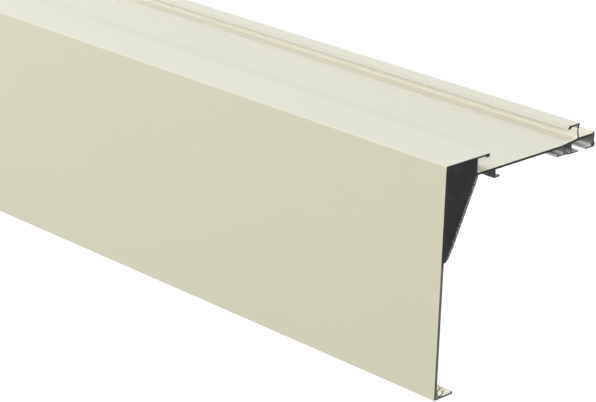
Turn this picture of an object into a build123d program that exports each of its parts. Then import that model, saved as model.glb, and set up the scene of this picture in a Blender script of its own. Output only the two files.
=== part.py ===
from build123d import *
import math
import os

# Aluminium pelmet with a curtain track in its top plate, in millimetres.
# Pieces are drawn with X along the length from its middle, Y back from the fascia's
# front face and Z up from its lower edge, then moved to the part's own origin.

# Overall length
LENGTH = 600.0

# Fascia extrusion
FASCIA_HEIGHT = 150.0
FASCIA_WALL = 2.2
FASCIA_CORNER_R = 0.6
FLANGE_DEPTH = 38.2
FLANGE_WALL = 1.2
FLANGE_BEAD_WIDTH = 3.5
FLANGE_BEAD_HEIGHT = 2.2
SOLE_DEPTH = 16.5
SOLE_WALL = 1.3
SOLE_BEAD_WIDTH = 2.0
SOLE_BEAD_HEIGHT = 1.8
SNAP_RIB_R = 0.8
SNAP_RIB_Z = 91.0

# Screw ports, one in each extrusion, for self-tapping screws driven in from the ends
FASCIA_PORT_R = 2.1
FASCIA_PORT_WALL = 1.1
FASCIA_PORT_Y = 4.9
FASCIA_PORT_Z = 4.4
FASCIA_PORT_GAP_DEG = 70.0
PLATE_PORT_R = 1.1
PLATE_PORT_WALL = 0.9
PLATE_PORT_RISE = 2.6
PLATE_PORT_WEB = 1.0

# Top plate extrusion
PLATE_DROP = 10.2
PLATE_WALL = 1.5
PLATE_BEND_R = 0.8
UPSTAND_Y = 26.5
UPSTAND_WALL = 1.2
RAMP_LEAD = 1.8
RAMP_TAIL = 0.8
RAMP_RISE = 1.8

# Wide accessory channel under the plate
CHANNEL_Y = 44.4
CHANNEL_WIDTH = 63.4
CHANNEL_HEIGHT = 4.2
CHANNEL_LEG = 1.2
CHANNEL_LIP_WALL = 1.0
CHANNEL_FRONT_LIP = 4.0
CHANNEL_BACK_LIP = 6.0
CHANNEL_LIP_BEAD = 0.7

# Curtain channel at the back of the plate
MIDDLE_LEG = 1.4
PORT_CELL_WIDTH = 5.1
TRACK_WIDTH = 20.5
TRACK_HEIGHT = 6.8
TRACK_SLOT = 6.7
TRACK_LIP_WALL = 0.9
BACK_LEG = 1.4
BACK_BEAD_HEIGHT = 0.7
HEEL_HEIGHT = 3.5
HEEL_PAD = 0.8
HEEL_R = 0.9

# Hanging rail on top of the plate
RAIL_SETBACK = 5.3
RAIL_HEIGHT = 9.5
RAIL_WALL = 1.2
RAIL_WAIST_HEIGHT = 4.9
RAIL_WAIST_LEAN = 1.1
RAIL_FLANGE = 10.1
RAIL_TIP_DROP = 2.2
RAIL_TIP_LEAN = 1.3
RAIL_TIP_WALL = 2.6
RAIL_SPUR = 2.0
RAIL_SPUR_DROP = 2.1

# Moulded end brackets
BRACKET_WIDTH = 24.0
BRACKET_FIT = 0.1
BRACKET_RIM = 2.0
BRACKET_WEB = 2.0
BRACKET_NOSE = 2.2
BRACKET_NOSE_HEIGHT = 1.5
BRACKET_TOE_Z = 88.8
BRACKET_TOE_FLAT = 1.5
BRACKET_CORNER_R = 1.2
BRACKET_TOE_WIDTH = 4.1
BRACKET_TOE_RISE = 2.3
BRACKET_KNEE_WIDTH = 8.1
BRACKET_KNEE_RISE = 9.3
BRACKET_RIB = 1.6
BRACKET_TIE_HEIGHTS = (20.0, 36.0)
BOSS_R = 3.0
BOSS_LENGTH = 10.0

# Pan-head screws that hold each bracket to the upstand
SCREW_R = 1.45
SCREW_FIT = 0.05
SCREW_LENGTH = 9.0
SCREW_HEAD_R = 2.8
SCREW_HEAD_HEIGHT = 1.9
SCREW_HEAD_CHAMFER = 0.7
SCREW_CLEARANCE = 0.15
SCREW_END_DISTANCES = (7.0, 17.0)

# Gliders and their wheelsets
GLIDER_COUNT = 6
GLIDER_END_MARGIN = 36.0
GLIDER_LENGTH = 13.0
GLIDER_SIDE_CLEARANCE = 0.6
GLIDER_ROOF_CLEARANCE = 0.7
GLIDER_NECK_LENGTH = 9.0
GLIDER_COLLAR_LENGTH = 11.0
GLIDER_COLLAR_WIDTH = 9.6
GLIDER_COLLAR_HEIGHT = 1.2
GLIDER_COLLAR_GAP = 0.4
GLIDER_EDGE_R = 1.2
EYE_HOLE_R = 2.1
EYE_WALL = 1.7
EYE_THICKNESS = 2.8
EYE_DROP = 3.4
WHEEL_R = 2.5
WHEEL_WIDTH = 2.6
WHEEL_LIP_GAP = 0.05
WHEEL_EDGE_GAP = 0.1
WHEEL_SIDE_GAP = 0.1
AXLE_R = 0.8
AXLE_CLEARANCE = 0.05
AXLE_PROUD = 0.2

# End stops and the screws that jam them in the channel
STOP_LENGTH = 12.0
STOP_END_DISTANCE = 26.0
STOP_SIDE_CLEARANCE = 0.5
STOP_ROOF_CLEARANCE = 0.5
STOP_NECK_CLEARANCE = 0.25
STOP_NECK_DROP = 1.0
STOP_SCREW_R = 1.9
STOP_SCREW_HEAD_R = 2.8
STOP_SCREW_HEAD_HEIGHT = 1.8
STOP_SCREW_SLOT_WIDTH = 0.8
STOP_SCREW_SLOT_DEPTH = 0.8

# Levels that follow from the sizes above
HALF_LENGTH = LENGTH / 2
FLANGE_UNDER = FASCIA_HEIGHT - FLANGE_WALL
PLATE_TOP = FASCIA_HEIGHT - PLATE_DROP
PLATE_UNDER = PLATE_TOP - PLATE_WALL
REAR_TOP = PLATE_TOP + RAMP_RISE
REAR_UNDER = REAR_TOP - PLATE_WALL
CHANNEL_LIP_TOP = PLATE_UNDER - CHANNEL_HEIGHT
CHANNEL_LIP_UNDER = CHANNEL_LIP_TOP - CHANNEL_LIP_WALL
TRACK_LIP_TOP = REAR_UNDER - TRACK_HEIGHT
TRACK_LIP_UNDER = TRACK_LIP_TOP - TRACK_LIP_WALL
RAIL_TOP = REAR_TOP + RAIL_HEIGHT
SCREW_Z = (PLATE_TOP + FLANGE_UNDER) / 2

# Depths that follow from the sizes above
UPSTAND_BACK = UPSTAND_Y + UPSTAND_WALL
CHANNEL_BACK = CHANNEL_Y + CHANNEL_WIDTH
PORT_CELL_FRONT = CHANNEL_BACK + MIDDLE_LEG
PORT_CELL_BACK = PORT_CELL_FRONT + PORT_CELL_WIDTH
PLATE_PORT_Y = (PORT_CELL_FRONT + PORT_CELL_BACK) / 2
PLATE_PORT_Z = CHANNEL_LIP_UNDER + PLATE_PORT_RISE
TRACK_Y = PORT_CELL_BACK + MIDDLE_LEG
TRACK_BACK = TRACK_Y + TRACK_WIDTH
TRACK_CENTRE = TRACK_Y + TRACK_WIDTH / 2
BACK_FACE = TRACK_BACK + BACK_LEG
RAIL_FOOT = TRACK_Y + RAIL_SETBACK
RAIL_BACK = RAIL_FOOT + RAIL_WALL
RAMP_FRONT = CHANNEL_BACK - RAMP_LEAD
RAMP_BACK = RAIL_BACK + RAMP_TAIL
RAIL_FRONT = RAIL_BACK - RAIL_FLANGE

# Places of the gliders, wheels, axles and stops
GLIDER_PITCH = (LENGTH - 2 * GLIDER_END_MARGIN) / GLIDER_COUNT
AXLE_Z = TRACK_LIP_TOP + WHEEL_LIP_GAP + WHEEL_R
WHEEL_INNER = TRACK_SLOT / 2 + WHEEL_EDGE_GAP
WHEEL_OUTER = WHEEL_INNER + WHEEL_WIDTH
AXLE_REACH = WHEEL_OUTER + AXLE_PROUD
HEAD_HALF_WIDTH = WHEEL_INNER - WHEEL_SIDE_GAP
NECK_HALF_WIDTH = TRACK_SLOT / 2 - GLIDER_SIDE_CLEARANCE
COLLAR_TOP = TRACK_LIP_UNDER - GLIDER_COLLAR_GAP
COLLAR_UNDER = COLLAR_TOP - GLIDER_COLLAR_HEIGHT
EYE_Z = COLLAR_UNDER - EYE_DROP
STOP_X = HALF_LENGTH - STOP_END_DISTANCE

# The part's origin: middle of the hanging rail's flat top, which meets the ceiling
ORIGIN_Y = (RAIL_FRONT + RAIL_BACK) / 2
TO_ORIGIN = Location((0, -ORIGIN_Y, -RAIL_TOP))


def bar(y_low, y_high, z_low, z_high):
    """Rectangle of a section between two depths and two heights."""
    centre = Pos((y_low + y_high) / 2, (z_low + z_high) / 2)
    return centre * Rectangle(y_high - y_low, z_high - z_low)


def polygon(*points):
    """Straight-sided closed shape of a section, through its corners."""
    return make_face(Polyline(*points, close=True))


def rounded(section, radius, *corners):
    """The section with the corners nearest to the given points rounded."""
    picked = [section.vertices().sort_by_distance(corner)[0] for corner in corners]
    return fillet(picked, radius)


def extruded(section):
    """Straight extrusion of a section over the whole length."""
    return extrude(Plane.YZ * section, amount=HALF_LENGTH, both=True)


def along_y(radius, y_low, y_high, x, z):
    """Round rod along Y between two depths."""
    plane = Plane(origin=(x, y_low, z), x_dir=(1, 0, 0), z_dir=(0, 1, 0))
    return extrude(plane * Circle(radius), amount=y_high - y_low)


def along_z(radius, z_low, z_high, x, y):
    """Round rod along Z between two heights."""
    return extrude(Plane.XY.offset(z_low) * Pos(x, y) * Circle(radius), amount=z_high - z_low)


def fascia_port():
    """C-shaped screw port, open towards the back and the top."""
    centre = Pos(FASCIA_PORT_Y, FASCIA_PORT_Z)
    outer_r = FASCIA_PORT_R + FASCIA_PORT_WALL
    reach = 2 * outer_r
    low = math.radians(45 - FASCIA_PORT_GAP_DEG / 2)
    high = math.radians(45 + FASCIA_PORT_GAP_DEG / 2)
    opening = polygon(
        (0, 0),
        (reach * math.cos(low), reach * math.sin(low)),
        (reach * math.cos(high), reach * math.sin(high)),
    )
    return centre * (Circle(outer_r) - opening), centre * Circle(FASCIA_PORT_R)


def fascia():
    """Front panel with a top flange, a return at the foot and a screw port."""
    wall = bar(0, FASCIA_WALL, 0, FASCIA_HEIGHT)
    flange = bar(0, FLANGE_DEPTH, FLANGE_UNDER, FASCIA_HEIGHT)
    flange_bead = bar(
        FLANGE_DEPTH - FLANGE_BEAD_WIDTH, FLANGE_DEPTH,
        FASCIA_HEIGHT - FLANGE_BEAD_HEIGHT, FASCIA_HEIGHT,
    )
    sole = bar(0, SOLE_DEPTH, 0, SOLE_WALL)
    sole_bead = bar(SOLE_DEPTH - SOLE_BEAD_WIDTH, SOLE_DEPTH, 0, SOLE_BEAD_HEIGHT)
    snap_rib = Pos(FASCIA_WALL, SNAP_RIB_Z) * Circle(SNAP_RIB_R)
    snap_rib -= bar(-SNAP_RIB_R, FASCIA_WALL, SNAP_RIB_Z - SNAP_RIB_R, SNAP_RIB_Z + SNAP_RIB_R)
    port, port_hole = fascia_port()
    section = wall + flange + flange_bead + sole + sole_bead + snap_rib + port - port_hole
    section = rounded(section, FASCIA_CORNER_R, (0, 0), (0, FASCIA_HEIGHT))
    return extruded(section)


def accessory_channel():
    """Two legs under the plate whose lips face each other across a wide slot."""
    front_leg = bar(CHANNEL_Y - CHANNEL_LEG, CHANNEL_Y, CHANNEL_LIP_UNDER, PLATE_UNDER)
    front_lip = bar(
        CHANNEL_Y - CHANNEL_LEG, CHANNEL_Y + CHANNEL_FRONT_LIP, CHANNEL_LIP_UNDER, CHANNEL_LIP_TOP
    )
    back_leg = bar(CHANNEL_BACK, PORT_CELL_FRONT, CHANNEL_LIP_UNDER, PLATE_TOP)
    back_lip = bar(
        CHANNEL_BACK - CHANNEL_BACK_LIP, PORT_CELL_FRONT, CHANNEL_LIP_UNDER, CHANNEL_LIP_TOP
    )
    tip = CHANNEL_BACK - CHANNEL_BACK_LIP
    bead = bar(tip, tip + CHANNEL_LEG, CHANNEL_LIP_UNDER, CHANNEL_LIP_TOP + CHANNEL_LIP_BEAD)
    return front_leg + front_lip + back_leg + back_lip + bead


def plate_port():
    """Screw port between the two middle legs, under a web and on a slanting one."""
    centre = Pos(PLATE_PORT_Y, PLATE_PORT_Z)
    ring = centre * Circle(PLATE_PORT_R + PLATE_PORT_WALL)
    web_top = PLATE_PORT_Z + PLATE_PORT_R + PLATE_PORT_WALL
    web = bar(PORT_CELL_FRONT, PORT_CELL_BACK, web_top - PLATE_PORT_WEB, web_top)
    slant = polygon(
        (PORT_CELL_FRONT, CHANNEL_LIP_TOP),
        (PORT_CELL_BACK, TRACK_LIP_TOP),
        (PORT_CELL_BACK, TRACK_LIP_UNDER),
        (PORT_CELL_FRONT, CHANNEL_LIP_UNDER),
    )
    return ring + web + slant - centre * Circle(PLATE_PORT_R)


def curtain_channel():
    """Channel with two running lips, its back leg thickened into a heel."""
    slot_front = TRACK_CENTRE - TRACK_SLOT / 2
    slot_back = TRACK_CENTRE + TRACK_SLOT / 2
    front_leg = bar(PORT_CELL_BACK, TRACK_Y, TRACK_LIP_UNDER, PLATE_TOP)
    front_lip = bar(PORT_CELL_BACK, slot_front, TRACK_LIP_UNDER, TRACK_LIP_TOP)
    back_leg = bar(TRACK_BACK, BACK_FACE, TRACK_LIP_UNDER, REAR_TOP + BACK_BEAD_HEIGHT)
    back_lip = bar(slot_back, BACK_FACE, TRACK_LIP_UNDER, TRACK_LIP_TOP)
    heel = bar(
        TRACK_BACK - BACK_LEG, BACK_FACE + HEEL_PAD,
        TRACK_LIP_UNDER, TRACK_LIP_UNDER + HEEL_HEIGHT,
    )
    heel = rounded(
        heel, HEEL_R,
        (BACK_FACE + HEEL_PAD, TRACK_LIP_UNDER),
        (BACK_FACE + HEEL_PAD, TRACK_LIP_UNDER + HEEL_HEIGHT),
    )
    return front_leg + front_lip + back_leg + back_lip + heel


def hanging_rail():
    """Bent leg with a forward flange, whose thick tip turns down over the bracket bed."""
    waist_z = REAR_TOP + RAIL_WAIST_HEIGHT
    under = RAIL_TOP - RAIL_WALL
    leg = polygon(
        (RAIL_FOOT, REAR_TOP - PLATE_WALL / 2),
        (RAIL_FOOT, REAR_TOP),
        (RAIL_FOOT - RAIL_WAIST_LEAN, waist_z),
        (RAIL_FOOT, RAIL_TOP),
        (RAIL_BACK, RAIL_TOP),
        (RAIL_BACK - RAIL_WAIST_LEAN, waist_z),
        (RAIL_BACK, REAR_TOP),
        (RAIL_BACK, REAR_TOP - PLATE_WALL / 2),
    )
    flange = bar(RAIL_FRONT, RAIL_BACK, under, RAIL_TOP)
    tip = polygon(
        (RAIL_FRONT, RAIL_TOP),
        (RAIL_FRONT - RAIL_TIP_LEAN, RAIL_TOP - RAIL_TIP_DROP),
        (RAIL_FRONT - RAIL_TIP_LEAN + RAIL_TIP_WALL, RAIL_TOP - RAIL_TIP_DROP),
        (RAIL_FRONT + RAIL_TIP_WALL, RAIL_TOP - RAIL_WALL),
        (RAIL_FRONT + RAIL_TIP_WALL, RAIL_TOP),
    )
    spur_z = RAIL_TOP - RAIL_SPUR_DROP
    spur = polygon(
        (RAIL_FOOT, spur_z + RAIL_WALL / 2),
        (RAIL_FOOT - RAIL_SPUR, spur_z + RAIL_WALL / 4),
        (RAIL_FOOT - RAIL_SPUR, spur_z - RAIL_WALL / 4),
        (RAIL_FOOT, spur_z - RAIL_WALL / 2),
    )
    return leg + flange + tip + spur


def top_plate():
    """Plate with an upstand in front, both channels below and the rail on top."""
    upstand = bar(UPSTAND_Y, UPSTAND_BACK, PLATE_UNDER, FLANGE_UNDER)
    front = bar(UPSTAND_Y, RAMP_FRONT, PLATE_UNDER, PLATE_TOP)
    ramp = polygon(
        (RAMP_FRONT, PLATE_UNDER),
        (RAMP_FRONT, PLATE_TOP),
        (RAMP_BACK, REAR_TOP),
        (RAMP_BACK, REAR_UNDER),
    )
    rear = bar(RAMP_BACK, BACK_FACE, REAR_UNDER, REAR_TOP)
    section = upstand + front + ramp + rear + accessory_channel() + plate_port()
    section = section + curtain_channel() + hanging_rail()
    section = rounded(section, PLATE_BEND_R, (UPSTAND_BACK, PLATE_TOP))
    plate = extruded(section)
    for x in bracket_screw_places():
        plate -= along_y(SCREW_R + SCREW_CLEARANCE, UPSTAND_Y, UPSTAND_BACK, x, SCREW_Z)
        plate -= along_y(SCREW_R + SCREW_CLEARANCE, UPSTAND_Y, UPSTAND_BACK, -x, SCREW_Z)
    return plate


def bracket_screw_places():
    """Distances of one bracket's screws from the middle of the length."""
    return [HALF_LENGTH - distance for distance in SCREW_END_DISTANCES]


def bracket_outline():
    """Gusset between the fascia and the upstand, slanting down to a rounded toe."""
    front = FASCIA_WALL + BRACKET_FIT
    top = FLANGE_UNDER - BRACKET_FIT
    shelf = PLATE_UNDER - BRACKET_FIT
    nose = UPSTAND_Y + BRACKET_NOSE
    outline = polygon(
        (front, top),
        (UPSTAND_Y, top),
        (UPSTAND_Y, shelf),
        (nose, shelf),
        (nose, shelf - BRACKET_NOSE_HEIGHT),
        (FASCIA_WALL + BRACKET_KNEE_WIDTH, BRACKET_TOE_Z + BRACKET_KNEE_RISE),
        (FASCIA_WALL + BRACKET_TOE_WIDTH, BRACKET_TOE_Z + BRACKET_TOE_RISE),
        (FASCIA_WALL + BRACKET_TOE_FLAT, BRACKET_TOE_Z),
        (front, BRACKET_TOE_Z),
    )
    return rounded(
        outline, BRACKET_CORNER_R,
        (FASCIA_WALL + BRACKET_TOE_WIDTH, BRACKET_TOE_Z + BRACKET_TOE_RISE),
        (FASCIA_WALL + BRACKET_TOE_FLAT, BRACKET_TOE_Z),
    )


def bracket_ribs(outline):
    """Lengthwise rib from the flange to the toe, tied across at two heights."""
    top = FLANGE_UNDER - BRACKET_FIT
    middle = (FASCIA_WALL + UPSTAND_Y) / 2
    foot = FASCIA_WALL + BRACKET_TOE_WIDTH / 2
    half = BRACKET_RIB / 2
    long_rib = polygon(
        (middle - half, top),
        (middle + half, top),
        (foot + half, BRACKET_TOE_Z),
        (foot - half, BRACKET_TOE_Z),
    )
    ties = Sketch()
    for height in BRACKET_TIE_HEIGHTS:
        z = BRACKET_TOE_Z + height
        ties += bar(FASCIA_WALL, UPSTAND_Y, z - half, z + half)
    return long_rib & outline, ties & outline


def end_bracket():
    """Right-hand bracket: a flat end web with a rim and ribs behind it, and screw bosses."""
    outline = bracket_outline()
    pocket = offset(outline, -BRACKET_RIM, kind=Kind.INTERSECTION)
    long_rib, ties = bracket_ribs(outline)
    depth = BRACKET_WIDTH - BRACKET_WEB
    inner = Plane.YZ.offset(HALF_LENGTH - BRACKET_WIDTH)
    block = extrude(inner * outline, amount=BRACKET_WIDTH)
    block -= extrude(inner * pocket, amount=depth)
    block += extrude(inner * (long_rib + ties), amount=depth)
    for x in bracket_screw_places():
        block += along_y(BOSS_R, UPSTAND_Y - BOSS_LENGTH, UPSTAND_Y, x, SCREW_Z)
    for x in bracket_screw_places():
        block -= along_y(SCREW_R + SCREW_FIT, UPSTAND_Y - SCREW_LENGTH, UPSTAND_Y, x, SCREW_Z)
    snap = Pos(FASCIA_WALL, SNAP_RIB_Z) * Circle(SNAP_RIB_R + BRACKET_FIT)
    block -= extrude(inner * snap, amount=BRACKET_WIDTH)
    return block


def bracket_screws():
    """Pan-head screws through the upstand into one bracket's bosses."""
    screws = []
    for x in bracket_screw_places():
        back = UPSTAND_BACK + SCREW_HEAD_HEIGHT
        head = along_y(SCREW_HEAD_R, UPSTAND_BACK, back, x, SCREW_Z)
        head = chamfer(head.edges().group_by(Axis.Y)[-1], SCREW_HEAD_CHAMFER)
        tip = UPSTAND_BACK - SCREW_LENGTH
        shank = along_y(SCREW_R, tip, UPSTAND_BACK, x, SCREW_Z)
        screws.append(head + shank)
    return Compound(screws)


def glider_places():
    """Distances of the gliders from the middle of the length, left to right."""
    middle = (GLIDER_COUNT - 1) / 2
    return [(index - middle) * GLIDER_PITCH for index in range(GLIDER_COUNT)]


def glider_head():
    """Side view of the head, which runs inside the channel between the wheels."""
    top = REAR_UNDER - GLIDER_ROOF_CLEARANCE
    under = TRACK_LIP_TOP + GLIDER_COLLAR_GAP
    half = GLIDER_LENGTH / 2
    head = bar(-half, half, under, top)
    return rounded(head, GLIDER_EDGE_R, (-half, top), (half, top))


def glider_eye():
    """Ring for a curtain hook, hanging from the collar on a tapered stem."""
    ring_r = EYE_HOLE_R + EYE_WALL
    stem = polygon(
        (-ring_r - EYE_WALL / 2, COLLAR_UNDER),
        (ring_r + EYE_WALL / 2, COLLAR_UNDER),
        (ring_r, EYE_Z),
        (-ring_r, EYE_Z),
    )
    return stem + Pos(0, EYE_Z) * Circle(ring_r)


def glider_body(x):
    """Moulded carrier: a head, a neck through the slot, a collar and an eye below."""
    side = Plane.XZ.offset(-TRACK_CENTRE)
    neck = bar(-GLIDER_NECK_LENGTH / 2, GLIDER_NECK_LENGTH / 2, COLLAR_UNDER, AXLE_Z)
    body = extrude(side * glider_head(), amount=HEAD_HALF_WIDTH, both=True)
    body += extrude(side * neck, amount=NECK_HALF_WIDTH, both=True)
    body += extrude(side * glider_eye(), amount=EYE_THICKNESS / 2, both=True)
    collar = Pos(0, TRACK_CENTRE) * Rectangle(GLIDER_COLLAR_LENGTH, GLIDER_COLLAR_WIDTH)
    collar = chamfer(collar.vertices(), GLIDER_EDGE_R)
    body += extrude(Plane.XY.offset(COLLAR_UNDER) * collar, amount=GLIDER_COLLAR_HEIGHT)
    body -= along_y(
        AXLE_R + AXLE_CLEARANCE,
        TRACK_CENTRE - HEAD_HALF_WIDTH, TRACK_CENTRE + HEAD_HALF_WIDTH, 0, AXLE_Z,
    )
    body -= along_y(
        EYE_HOLE_R, TRACK_CENTRE - EYE_THICKNESS, TRACK_CENTRE + EYE_THICKNESS, 0, EYE_Z
    )
    return Pos(x, 0, 0) * body


def glider_axle(x):
    """Steel pin that turns in the glider's bore and is pressed into both wheels."""
    return along_y(AXLE_R, TRACK_CENTRE - AXLE_REACH, TRACK_CENTRE + AXLE_REACH, x, AXLE_Z)


def glider_wheel(x, side):
    """Plain wheel that runs on one lip of the slot, side -1 in front and 1 at the back."""
    faces = sorted((TRACK_CENTRE + side * WHEEL_INNER, TRACK_CENTRE + side * WHEEL_OUTER))
    wheel = along_y(WHEEL_R, faces[0], faces[1], x, AXLE_Z)
    return wheel - along_y(AXLE_R, faces[0], faces[1], x, AXLE_Z)


def end_stop(x):
    """Block across the channel with a neck in the slot and a hole for its screw."""
    half_width = TRACK_WIDTH / 2 - STOP_SIDE_CLEARANCE
    neck_half = TRACK_SLOT / 2 - STOP_NECK_CLEARANCE
    under = TRACK_LIP_UNDER - STOP_NECK_DROP
    top = PLATE_UNDER - STOP_ROOF_CLEARANCE
    section = bar(TRACK_CENTRE - half_width, TRACK_CENTRE + half_width, TRACK_LIP_TOP, top)
    section += bar(TRACK_CENTRE - neck_half, TRACK_CENTRE + neck_half, under, TRACK_LIP_TOP)
    section -= bar(
        TRACK_BACK - BACK_LEG - STOP_SIDE_CLEARANCE, TRACK_BACK,
        TRACK_LIP_TOP, TRACK_LIP_UNDER + HEEL_HEIGHT + STOP_SIDE_CLEARANCE,
    )
    plane = Plane.YZ.offset(x - STOP_LENGTH / 2)
    block = extrude(plane * section, amount=STOP_LENGTH)
    return block - along_z(STOP_SCREW_R + SCREW_FIT, under, top, x, TRACK_CENTRE)


def end_stop_screw(x):
    """Slotted screw whose tip presses on the channel's roof and locks the stop."""
    seat = TRACK_LIP_UNDER - STOP_NECK_DROP
    head_under = seat - STOP_SCREW_HEAD_HEIGHT
    screw = along_z(STOP_SCREW_R, seat, REAR_UNDER, x, TRACK_CENTRE)
    screw += along_z(STOP_SCREW_HEAD_R, head_under, seat, x, TRACK_CENTRE)
    slot = Box(2 * STOP_SCREW_HEAD_R, STOP_SCREW_SLOT_WIDTH, STOP_SCREW_SLOT_DEPTH)
    return screw - Pos(x, TRACK_CENTRE, head_under + STOP_SCREW_SLOT_DEPTH / 2) * slot


def pieces():
    """Every piece of the pelmet by name, in its drawn place."""
    made = {"fascia": fascia(), "top_plate": top_plate()}
    bracket = end_bracket()
    screws = bracket_screws()
    made["end_bracket_right"] = bracket
    made["end_bracket_left"] = mirror(bracket, about=Plane.YZ)
    made["bracket_screws_right"] = screws
    made["bracket_screws_left"] = mirror(screws, about=Plane.YZ)
    for side, x in (("right", STOP_X), ("left", -STOP_X)):
        made["end_stop_" + side] = end_stop(x)
        made["end_stop_screw_" + side] = end_stop_screw(x)
    for number, x in enumerate(glider_places(), start=1):
        made[f"glider_{number}_body"] = glider_body(x)
        made[f"glider_{number}_axle"] = glider_axle(x)
        made[f"glider_{number}_front_wheel"] = glider_wheel(x, -1)
        made[f"glider_{number}_back_wheel"] = glider_wheel(x, 1)
    return made


os.makedirs("parts", exist_ok=True)
for name, piece in pieces().items():
    export_step(TO_ORIGIN * piece, os.path.join("parts", name + ".step"))
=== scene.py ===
import math
import bmesh
import bpy
import numpy as np
from mathutils import Matrix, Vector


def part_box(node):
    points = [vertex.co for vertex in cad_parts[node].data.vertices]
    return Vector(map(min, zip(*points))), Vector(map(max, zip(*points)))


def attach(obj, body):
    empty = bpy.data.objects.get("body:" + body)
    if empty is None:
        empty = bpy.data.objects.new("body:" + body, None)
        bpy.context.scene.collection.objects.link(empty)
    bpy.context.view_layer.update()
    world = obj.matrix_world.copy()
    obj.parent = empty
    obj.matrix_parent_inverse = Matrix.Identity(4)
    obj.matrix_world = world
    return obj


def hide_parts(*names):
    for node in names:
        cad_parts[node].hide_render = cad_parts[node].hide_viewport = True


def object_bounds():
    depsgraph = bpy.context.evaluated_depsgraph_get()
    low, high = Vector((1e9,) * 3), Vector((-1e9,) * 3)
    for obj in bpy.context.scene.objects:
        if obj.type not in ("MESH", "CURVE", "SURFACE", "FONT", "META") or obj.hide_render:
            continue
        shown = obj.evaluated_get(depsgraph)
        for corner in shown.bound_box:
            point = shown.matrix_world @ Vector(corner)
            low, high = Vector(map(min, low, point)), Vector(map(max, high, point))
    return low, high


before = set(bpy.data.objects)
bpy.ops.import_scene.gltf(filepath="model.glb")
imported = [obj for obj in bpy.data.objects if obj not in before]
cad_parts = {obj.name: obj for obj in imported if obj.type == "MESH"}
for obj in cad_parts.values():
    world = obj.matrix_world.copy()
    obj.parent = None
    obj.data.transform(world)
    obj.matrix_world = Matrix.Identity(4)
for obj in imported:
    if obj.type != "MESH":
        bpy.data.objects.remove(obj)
cad_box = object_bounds()

# Fascia: the tall front panel, one aluminium extrusion with a flange at the top and a
# return at the foot. It is powder coated cream all over and then sawn to length, so
# its two ends show bare metal with the grain of the saw cut.

MM = 0.001
END_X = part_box("fascia")[1].x
CREAM = (0.71, 0.69, 0.555, 1.0)
CREAM_SHADE = (0.69, 0.67, 0.525, 1.0)
COAT_ROUGHNESS = 0.8
COAT_ROUGHNESS_DRIFT = 0.06
COAT_IOR = 1.28
COAT_DRIFT_PER_METRE = 7.0
PEEL_PER_METRE = 900.0
PEEL_HEIGHT = 0.006 * MM
# Sawn grey and sawn glint are the sawn end beside the bracket, darkened with painted shade; the pale
# sawn tones are the same cut below it.
SAWN_GREY_PAINTED_SHADE = (0.03, 0.031, 0.031, 1.0)
SAWN_GLINT = (0.10, 0.102, 0.10, 1.0)
PALE_SAWN = (0.10, 0.10, 0.103, 1.0)
PALE_SAWN_GLINT = (0.29, 0.29, 0.295, 1.0)
PALE_SAWN_Z = -62.0 * MM
PALE_SAWN_FADE = 4.0 * MM
SAW_GRAIN_PER_METRE = 700.0
SAWN_SHINE = 0.5
SAWN_SHINE_GRAIN = 0.24
SAWN_ROUGHNESS = 0.42
SAWN_ROUGHNESS_GRAIN = 0.2
SAWN_DEPTH = 0.03 * MM
SAWN_FROM = 0.06 * MM
SAWN_FULL = 0.02 * MM
# Paler cream inside the return at the foot: painted light.
SOLE_PAINTED_LIGHT = (0.86, 0.84, 0.71, 1.0)
SOLE_FRONT_Y = -114.7 * MM
SOLE_FRONT_FADE = 0.2 * MM
SOLE_TOP_Z = -146.5 * MM
SOLE_TOP_FADE = 1.0 * MM
MERGE_WITHIN = 0.0005 * MM
FLAT_WITHIN_DEG = 0.5
ROUNDED_FROM_DEG = 30.0
FASCIA_EDGE = 0.18 * MM


class Wire:
    """An output of a shader node. Arithmetic on it adds the Math nodes of the expression."""

    def __init__(self, graph, socket):
        self.graph = graph
        self.socket = socket

    def math(self, operation, *values):
        """Math node on the values, of which this wire is one."""
        return self.graph.node("ShaderNodeMath", {"operation": operation}, dict(enumerate(values)))

    def larger(self, other):
        """The larger of two values."""
        return self.math("MAXIMUM", self, other)

    def output(self, name):
        """Another output of the same node."""
        return Wire(self.graph, self.socket.node.outputs[name])

    def __add__(self, other):
        return self.math("ADD", self, other)

    def __sub__(self, other):
        return self.math("SUBTRACT", self, other)

    def __rsub__(self, other):
        return self.math("SUBTRACT", other, self)

    def __mul__(self, other):
        return self.math("MULTIPLY", self, other)

    def __abs__(self):
        return self.math("ABSOLUTE", self)

    __radd__ = __add__
    __rmul__ = __mul__


class Graph:
    """The shader nodes of one material or of the world."""

    def __init__(self, owner):
        owner.use_nodes = True
        self.tree = owner.node_tree
        self.tree.nodes.clear()

    def node(self, kind, settings, inputs, output=0):
        """One node: its settings first, then the values or links of its sockets."""
        made = self.tree.nodes.new(kind)
        for name, value in settings.items():
            setattr(made, name, value)
        for name, value in inputs.items():
            if isinstance(value, Wire):
                self.tree.links.new(value.socket, made.inputs[name])
            else:
                made.inputs[name].default_value = value
        return Wire(self, made.outputs[output]) if made.outputs else made


def object_place(graph):
    """Place on the piece in metres, in the shared frame."""
    return graph.node("ShaderNodeTexCoord", {}, {}, "Object")


def coordinate(graph, place, axis):
    """One coordinate of a place. The other two are outputs of the same node."""
    return graph.node("ShaderNodeSeparateXYZ", {}, {0: place}, axis)


def noise(graph, place, per_metre, detail=2.0):
    """Soft random field from 0 to 1 with so many lumps in a metre."""
    return graph.node("ShaderNodeTexNoise", {}, {"Vector": place, "Scale": per_metre, "Detail": detail})


def rise(graph, value, low, high):
    """0 below low, 1 above high and a smooth climb between them."""
    settings = {"interpolation_type": "SMOOTHSTEP"}
    inputs = {"Value": value, "From Min": low, "From Max": high}
    return graph.node("ShaderNodeMapRange", settings, inputs)


def mixed_colour(graph, first, second, share):
    """Colour that passes from the first to the second as the share goes from 0 to 1."""
    return graph.node("ShaderNodeMix", {"data_type": "RGBA"}, {0: share, 6: first, 7: second}, 2)


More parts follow.
